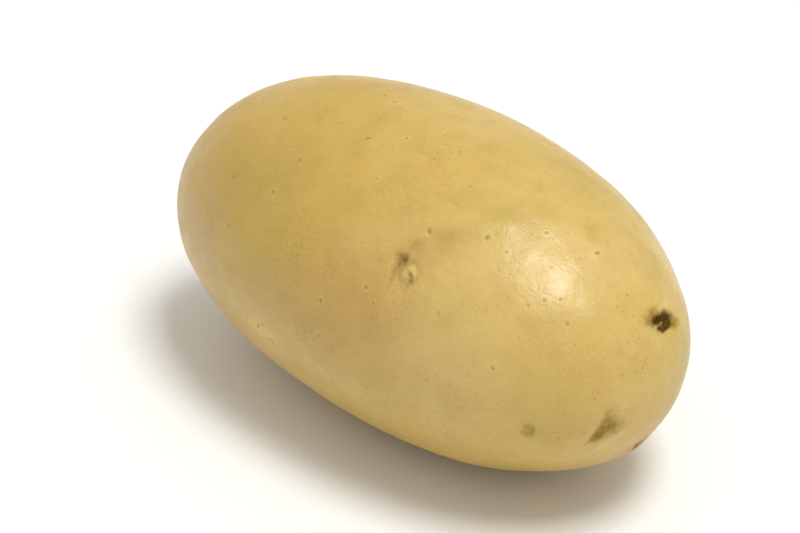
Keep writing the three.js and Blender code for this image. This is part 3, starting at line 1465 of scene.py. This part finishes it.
@dataclass
class Tuber:
    """The potato itself: one closed skin with all its features.

    Attributes:
        form: the smooth tuber.
        finish: its material.
        rings: how many rings of vertices lie between the two ends.
        around: how many vertices each ring has.
        gathering: the share of the way to an eye's middle that vertices near it are moved.
        gathering_reach: how far that reaches on the unit sphere, for each millimetre of eye width.
        contact_softness: how softly the skin meets the flat spot's rim, in millimetres.
        swellings, eyes, heel, folds, dents, undulations, tints, rubbed, spots: its features.
    """

    form: TuberForm
    finish: SkinFinish = field(default_factory=SkinFinish)
    rings: int = 299
    around: int = 320
    gathering: float = 0.5
    gathering_reach: float = 0.025
    contact_softness: float = 0.06

    swellings: tuple[Mound, ...] = tuple(
        Mound(SkinPlace(station, around), *size)
        for station, around, *size in (
            (-0.46, 112, 17, 0.4),
            (0.04, 152, 9, -0.35),
            (0.56, 128, 12, 0.35),
            (-0.30, 12, 16, -0.5),
            (0.42, -18, 14, 0.5),
            (-0.66, -72, 13, -0.4),
            (0.70, -112, 11, -0.35),
        )
    )
    eyes: tuple[Eye, ...] = (
        Eye(
            SkinPlace(0.35, 137, -14),
            11.2,
            0.62,
            0.38,
            0.32,
            shift=(0.28, -0.31),
            fade=0.7,
            shape=EyeShape(
                brow_curl=0.25,
                scale_radius=0.23,
                slit_width=0.06,
                slit_from=(0.3, -0.75),
                slit_turn=45.0,
            ),
        ),
        Eye(SkinPlace(0.927, 59, 19), 7.6, 0.8, 0.42, 0.15, EyeKind.TORN),
        Eye(SkinPlace(0.96, -158, -75), 6.4, 0.35, 0.2, 0.0, EyeKind.STAINED),
        Eye(SkinPlace(0.82, -169, 0), 3.6, 0.22, 0.12, 0.15, EyeKind.FAINT),
        Eye(SkinPlace(0.935, -84, -15), 4.4, 0.4, 0.35, 0.15),
        Eye(SkinPlace(0.83, -12, 12), 6.4, 0.6, 0.35, 0.25),
        Eye(SkinPlace(0.68, -86, -10), 7.0, 0.6, 0.35, 0.25, fade=0.5),
        Eye(SkinPlace(0.52, 14, 8), 8.0, 0.65, 0.4, 0.3, shift=(0.08, 0.1)),
        Eye(SkinPlace(0.18, -44, -14), 9.0, 0.65, 0.4, 0.3, shift=(0.08, -0.12), fade=0.6),
        Eye(SkinPlace(-0.12, 30, 10), 9.5, 0.6, 0.38, 0.3, shift=(0.06, 0.15), fade=0.4),
        Eye(SkinPlace(-0.50, -128, 16), 8.0, 0.45, 0.3, 0.2, fade=0.6),
        Eye(SkinPlace(-0.62, -20, -12), 7.5, 0.4, 0.28, 0.18, EyeKind.FAINT),
    )
    heel: Heel = field(default_factory=lambda: Heel(SkinPlace(-0.995, 60)))
    folds: tuple[Fold, ...] = (
        Fold(SkinPlace(0.39, 124), SkinPlace(0.56, 106), 1.9, 0.28),
        Fold(SkinPlace(0.38, 131), SkinPlace(0.50, 120), 1.8, -0.2),
        Fold(SkinPlace(0.34, 151), SkinPlace(0.32, 165), 1.3, 0.16),
        Fold(SkinPlace(0.30, 150), SkinPlace(0.25, 164), 1.5, -0.2),
        Fold(SkinPlace(0.88, 66), SkinPlace(0.78, 86), 1.6, 0.14),
        Fold(SkinPlace(0.92, -106), SkinPlace(0.95, -72), 1.0, 0.3),
        Fold(SkinPlace(-0.20, 28), SkinPlace(-0.40, 42), 2.4, -0.2),
    )
    dents: tuple[Mound, ...] = tuple(
        Mound(SkinPlace(station, around), *size)
        for station, around, *size in (
            (-0.20, 100, 3.2, -0.12, 1.6),
            (-0.55, 150, 2.6, -0.1, 0.8),
            (0.60, 165, 2.8, -0.12, 1.4),
            (0.10, 75, 3.6, -0.12, 1.2),
            (-0.75, 60, 2.4, -0.12, 1.0),
            (0.35, -5, 3.0, -0.15, 1.5),
            (-0.35, -75, 3.4, -0.12, 1.2),
        )
    )
    undulations: tuple[Undulation, ...] = (
        Undulation(20.0, 0.05, 3),
        Undulation(6.0, 0.018, 8),
        Undulation(2.2, 0.006, 21),
    )
    tints: tuple[Tint, ...] = tuple(
        Tint(mask, SkinPlace(station, around), reach, strength)
        for mask, station, around, reach, strength in (
            (Mask.GREEN, -0.36, 142, (13.0, 10.0), 1.0),
            (Mask.GREEN, -0.17, 157, (10.0, 7.0), 0.8),
            (Mask.GREEN, 0.00, 159, (7.0, 6.0), 0.5),
            (Mask.GREEN, -0.60, 150, (9.0, 9.0), 0.5),
            (Mask.GREEN, 0.47, 66, (9.0, 5.0), 0.3),
            (Mask.GREEN, 0.88, 152, (7.0, 7.0), 0.3),
            (Mask.GREEN, 0.97, 10, (7.0, 6.0), 0.4),
            (Mask.GOLD, -0.45, 122, (18.0, 15.0), 1.0),
            (Mask.GOLD, -0.10, 135, (15.0, 11.0), 0.95),
            (Mask.GOLD, 0.12, 158, (14.0, 8.0), 0.5),
            (Mask.GOLD, 0.92, 172, (8.0, 10.0), 0.4),
            (Mask.GOLD, 0.10, 20, (16.0, 12.0), 0.5),
            (Mask.BLUSH, 0.22, 164, (10.0, 6.0), 0.75),
            (Mask.BLUSH, -0.05, 172, (15.0, 6.0), 0.65),
            (Mask.BLUSH, -0.45, 150, (16.0, 12.0), 0.45),
            (Mask.BLUSH, -0.75, 120, (9.0, 12.0), 0.4),
            (Mask.BLUSH, 0.41, 129, (2.6, 2.2), 0.6),
            (Mask.BLUSH, -0.50, -10, (10.0, 8.0), 0.4),
            (Mask.PALE, 0.68, 160, (13.0, 10.0), 0.2),
            (Mask.PINK, -0.56, 176, (6.0, 7.0), 0.4),
            (Mask.PINK, 0.935, -88, (3.6, 4.0), 0.8),
            (Mask.CORK, 0.935, -86, (1.5, 1.3), 0.6),
        )
    )
    rubbed: tuple[RubbedPatch, ...] = (
        RubbedPatch(SkinPlace(-0.19, -168), (3.6, 1.6)),
        RubbedPatch(SkinPlace(-0.62, 84), (4.0, 1.8)),
        RubbedPatch(SkinPlace(-0.05, -20), (3.5, 2.0)),
        RubbedPatch(SkinPlace(0.60, -50), (2.4, 2.8)),
        RubbedPatch(SkinPlace(-0.78, -60), (2.6, 1.6)),
    )
    spots: Spots = field(
        default_factory=lambda: Spots(
            plain=(
                (0.62, 101, 0.34), (0.744, 89, 0.48), (0.73, 130, 0.34), (0.754, 124, 0.36),
                (0.783, 119, 0.34), (0.832, 126, 0.38), (0.516, 118, 0.42), (0.588, 118, 0.30),
                (0.356, 127, 0.46), (-0.072, 109, 0.42), (-0.208, 108, 0.32), (-0.156, 89, 0.34),
                (0.178, 104, 0.32), (0.208, 96, 0.32), (0.032, 102, 0.30), (-0.444, 143, 0.46),
                (-0.605, 108, 0.38), (-0.224, 127, 0.36), (-0.244, 141, 0.34), (-0.562, 168, 0.40),
                (-0.187, -169, 0.44), (0.108, 166, 0.36), (0.259, 154, 0.32), (0.72, 161, 0.36),
                (0.536, 176, 0.34), (0.20, 5, 0.44), (-0.40, 0, 0.40), (0.70, 25, 0.40),
                (0.45, -60, 0.42), (-0.15, -70, 0.38), (-0.80, 30, 0.36), (-0.85, -130, 0.40),
            )
        )
    )

    def directions(self) -> Array:
        """The grid of unit directions: the heel's pole, then ring after ring, then the rose pole.

        Ring i of n lies at an angle of pi i / (n + 1) from the heel, and column j of m at a turn of
        2 pi j / m around the long axis. Each direction is then drawn towards the eyes near it by
        the gathering times the bell curve of its distance, so that the mesh is finer there.

        Returns:
            The directions, one per row.
        """
        polar = math.pi * np.arange(1, self.rings + 1) / (self.rings + 1)
        turn = 2.0 * math.pi * np.arange(self.around) / self.around
        theta, phi = (grid.ravel() for grid in np.meshgrid(polar, turn, indexing="ij"))
        ring = np.sin(theta)
        body = np.stack([-np.cos(theta), ring * np.cos(phi), ring * np.sin(phi)], axis=1)
        plain = np.concatenate([[[-1.0, 0.0, 0.0]], body, [[1.0, 0.0, 0.0]]])
        moved = plain.copy()
        for eye in self.eyes:
            gap = eye.place.direction() - plain
            distance = np.linalg.norm(gap, axis=1) / (self.gathering_reach * eye.width)
            moved += gap * (self.gathering * bell(distance))[:, None]
        return unit(moved)

    def faces(self) -> tuple[Array, Array]:
        """The faces' corners in order and each face's first corner.

        Quads join ring to ring, and a fan of triangles closes each pole. All of them turn
        anticlockwise as seen from outside.

        Returns:
            The vertex at each corner of each face in turn, and where each face starts.
        """
        first = 1 + np.arange(self.rings - 1)[:, None] * self.around
        column = np.arange(self.around)[None, :]
        following = (column + 1) % self.around
        a, b = first + column, first + following
        quads = np.stack([a, b, b + self.around, a + self.around], axis=-1).reshape(-1, 4)
        start, end = 0, 1 + self.rings * self.around
        last = end - self.around
        ring, beyond = column[0], following[0]
        heel_fan = np.stack([np.full(self.around, start), 1 + beyond, 1 + ring], axis=1)
        rose_fan = np.stack([np.full(self.around, end), last + ring, last + beyond], axis=1)
        fans = np.concatenate([heel_fan, rose_fan])
        corners = np.concatenate([quads.ravel(), fans.ravel()])
        starts = np.concatenate(
            [4 * np.arange(len(quads)), 4 * len(quads) + 3 * np.arange(len(fans))]
        )
        return corners, starts

    def layer(self, directions: Array) -> tuple[SkinLayer, Array]:
        """Gathers every feature over the smooth skin, and returns it with the spots' offsets.

        Args:
            directions: unit directions, one per row.

        Returns:
            The layer, and each point's offset from its nearest spot.
        """
        layer = SkinLayer(self.form, self.form.skin(directions))
        features = (
            *self.swellings,
            *self.undulations,
            *self.eyes,
            self.heel,
            *self.folds,
            *self.dents,
            *self.rubbed,
            *self.tints,
        )
        for feature in features:
            feature.add_to(layer)
        return layer, self.spots.add_to(layer)

    def resting(self, points: Array, floor: float) -> Array:
        """Flattens what would lie below the floor.

        The height h above the floor becomes (h + sqrt(h^2 + s^2)) / 2, which is never below the
        floor and rounds the rim of the flat spot over the softness s.

        Args:
            points: places in metres, one per row.
            floor: the floor's height, in metres.

        Returns:
            The places, none of them below the floor.
        """
        softness = self.contact_softness * MM
        above = points[:, 2] - floor
        flat = points.copy()
        flat[:, 2] = floor + 0.5 * (above + np.sqrt(above**2 + softness**2))
        flat[:, 2] -= np.min(flat[:, 2]) - floor
        return flat

    def build(self, floor: float, effects: Effects) -> bpy.types.Object:
        """Makes the skin's mesh, gives it its masks and its material.

        Args:
            floor: the height of the surface it rests on, in metres.
            effects: the shader node groups.

        Returns:
            The finished object, at the origin.
        """
        directions = self.directions()
        layer, offsets = self.layer(directions)
        points = layer.points + self.form.outward(directions) * layer.height[:, None]
        points = self.resting(points, floor)
        corners, starts = self.faces()

        mesh = bpy.data.meshes.new("potato_tuber")
        mesh.vertices.add(len(points))
        mesh.vertices.foreach_set("co", points.ravel())
        mesh.loops.add(len(corners))
        mesh.loops.foreach_set("vertex_index", corners)
        mesh.polygons.add(len(starts))
        mesh.polygons.foreach_set("loop_start", starts)
        mesh.update(calc_edges=True)
        mesh.validate()
        mesh.shade_smooth()
        self._carry(mesh, layer, offsets)
        mesh.materials.append(self.finish.build(effects))
        return add_object("potato_tuber", mesh)

    def _carry(self, mesh: bpy.types.Mesh, layer: SkinLayer, offsets: Array) -> None:
        """Writes the masks and the spots' offsets to the mesh as attributes.

        Args:
            mesh: the skin's mesh.
            layer: the gathered features.
            offsets: each vertex's offset from its nearest spot.
        """
        for mask, values in layer.masks.items():
            attribute = mesh.attributes.new(mask.value, "FLOAT", "POINT")
            attribute.data.foreach_set("value", values.astype(np.float32))
        attribute = mesh.attributes.new(SPOT_OFFSET, "FLOAT_VECTOR", "POINT")
        attribute.data.foreach_set("vector", offsets.astype(np.float32).ravel())


# ---------------------------------------------------------------------------------------------
# The studio
# ---------------------------------------------------------------------------------------------


@dataclass(frozen=True)
class Softbox:
    """A rectangular soft light that points at the potato.

    Attributes:
        turn: degrees around the potato, as a camera's azimuth.
        rise: degrees above the floor.
        distance: in metres.
        size: its length and width, in metres.
        swing: the turn that its length points to, in degrees.
        power: in watts.
        colour: its tint.
    """

    turn: float
    rise: float
    distance: float
    size: Pair
    swing: float
    power: float
    colour: Colour = (1.0, 1.0, 1.0)


def heading(turn: float, rise: float) -> Vector:
    """The unit direction from the object to what stands at that turn and rise, in degrees."""
    a, e = math.radians(turn), math.radians(rise)
    return Vector((math.sin(a) * math.cos(e), -math.cos(a) * math.cos(e), math.sin(e)))


@dataclass(frozen=True)
class Studio:
    """A pale floor, a large soft light overhead, slightly warm surroundings and the camera.

    Attributes:
        camera_turn, camera_rise: where the camera stands, in degrees.
        lens: its focal length, in millimetres.
        filled: the share of the picture's width or height that the potato fills at most.
        shifted: how far right of and above the picture's middle the potato sits, as shares of its
            width.
        world: brightness of the surroundings.
        world_tint: their colour, a little warm.
        floor_side: the floor's side, in metres.
        lights: the soft lights.
    """

    camera_turn: float = 48.0
    camera_rise: float = 30.0
    lens: float = 135.0
    filled: float = 0.74
    shifted: Pair = (0.03, 0.0)
    world: float = 0.63
    world_tint: Colour = (1.0, 0.955, 0.88)
    floor_side: float = 6.0
    lights: tuple[Softbox, ...] = (
        Softbox(
            turn=101.0,
            rise=73.0,
            distance=1.5,
            size=(0.78, 0.50),
            swing=58.0,
            power=16.7,
            colour=(0.985, 1.0, 0.96),
        ),
    )

    def build(self, tuber: bpy.types.Object, floor: float, effects: Effects) -> None:
        """Makes the floor, the lights, the surroundings and the camera.

        Args:
            tuber: the potato.
            floor: the floor's height, in metres.
            effects: the shader node groups.
        """
        self._floor(floor, effects)
        middle = sum((Vector(corner) for corner in tuber.bound_box), Vector()) / 8.0
        for number, box in enumerate(self.lights):
            self._light(f"softbox_{number}", box, middle)
        self._surroundings()
        self._camera(tuber)
        bpy.context.scene.view_settings.view_transform = "Standard"

    def _floor(self, height: float, effects: Effects) -> None:
        """A large flat floor under the potato.

        Args:
            height: its height, in metres.
            effects: the shader node groups.
        """
        half = 0.5 * self.floor_side
        square = ((-half, -half), (half, -half), (half, half), (-half, half))
        corners = [(x, y, height) for x, y in square]
        mesh = bpy.data.meshes.new("floor")
        mesh.from_pydata(corners, [], [(0, 1, 2, 3)])
        mesh.materials.append(FloorFinish().build(effects))
        floor = add_object("floor", mesh)

    def _light(self, name: str, box: Softbox, middle: Vector) -> None:
        """One area light, aimed at the potato, with its length swung to its own turn.

        Args:
            name: its name.
            box: its size and place.
            middle: what it is aimed at.
        """
        lamp = bpy.data.lights.new(name, "AREA")
        lamp.shape, lamp.energy, lamp.color = "RECTANGLE", box.power, box.colour
        lamp.size, lamp.size_y = box.size
        placed = add_object(name, lamp)
        back = heading(box.turn, box.rise)
        along = heading(box.swing, 0.0)
        along = (along - back * along.dot(back)).normalized()
        placed.matrix_world = Matrix((along, back.cross(along), back)).transposed().to_4x4()
        placed.location = middle + back * box.distance

    def _surroundings(self) -> None:
        """Even, slightly warm light from all round."""
        world = bpy.data.worlds.new("surroundings")
        world.use_nodes = True
        background = world.node_tree.nodes["Background"]
        background.inputs["Color"].default_value = (*self.world_tint, 1.0)
        background.inputs["Strength"].default_value = self.world
        bpy.context.scene.world = world

    def _camera(self, tuber: bpy.types.Object) -> None:
        """Stands the camera off so that the potato fills its share of the picture.

        Args:
            tuber: the potato.
        """
        back = heading(self.camera_turn, self.camera_rise)
        right = Vector((0.0, 0.0, 1.0)).cross(back).normalized()
        up = back.cross(right)
        places = np.empty(len(tuber.data.vertices) * 3)
        tuber.data.vertices.foreach_get("co", places)
        seen = places.reshape(-1, 3) @ np.array([right, up, back]).T
        low, high = seen.min(axis=0), seen.max(axis=0)
        wide, tall = (high - low)[:2]
        width = max(wide, tall * IMAGE_SHAPE[0] / IMAGE_SHAPE[1]) / self.filled

        data = bpy.data.cameras.new("camera")
        data.lens = self.lens
        data.dof.use_dof = False
        distance = width * self.lens / data.sensor_width
        centre = 0.5 * (low + high)
        centre[:2] -= width * np.array(self.shifted)
        aim = right * centre[0] + up * centre[1] + back * centre[2]
        camera = add_object("camera", data)
        camera.location = aim + back * distance
        camera.rotation_euler = back.to_track_quat("Z", "Y").to_euler()
        data.clip_start, data.clip_end = 0.01, 20.0
        bpy.context.scene.camera = camera


# ---------------------------------------------------------------------------------------------
# The whole scene
# ---------------------------------------------------------------------------------------------


def main() -> None:
    """Builds the potato and its studio."""
    logging.basicConfig(level=logging.INFO, format="%(name)s: %(message)s")
    effects = Effects()
    low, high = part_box(NODE)
    form = TuberForm.inside(low, high)
    tuber = Tuber(form).build(low.z, effects)
    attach(tuber, BODY)
    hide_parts(NODE)
    mesh = tuber.data
    LOG.info("%s: %d vertices, %d faces", tuber.name, len(mesh.vertices), len(mesh.polygons))
    studio = Studio()
    studio.build(tuber, low.z, effects)
    LOG.info("studio: floor, camera and number of softboxes %d", len(studio.lights))


if __name__ == "__main__":
    main()
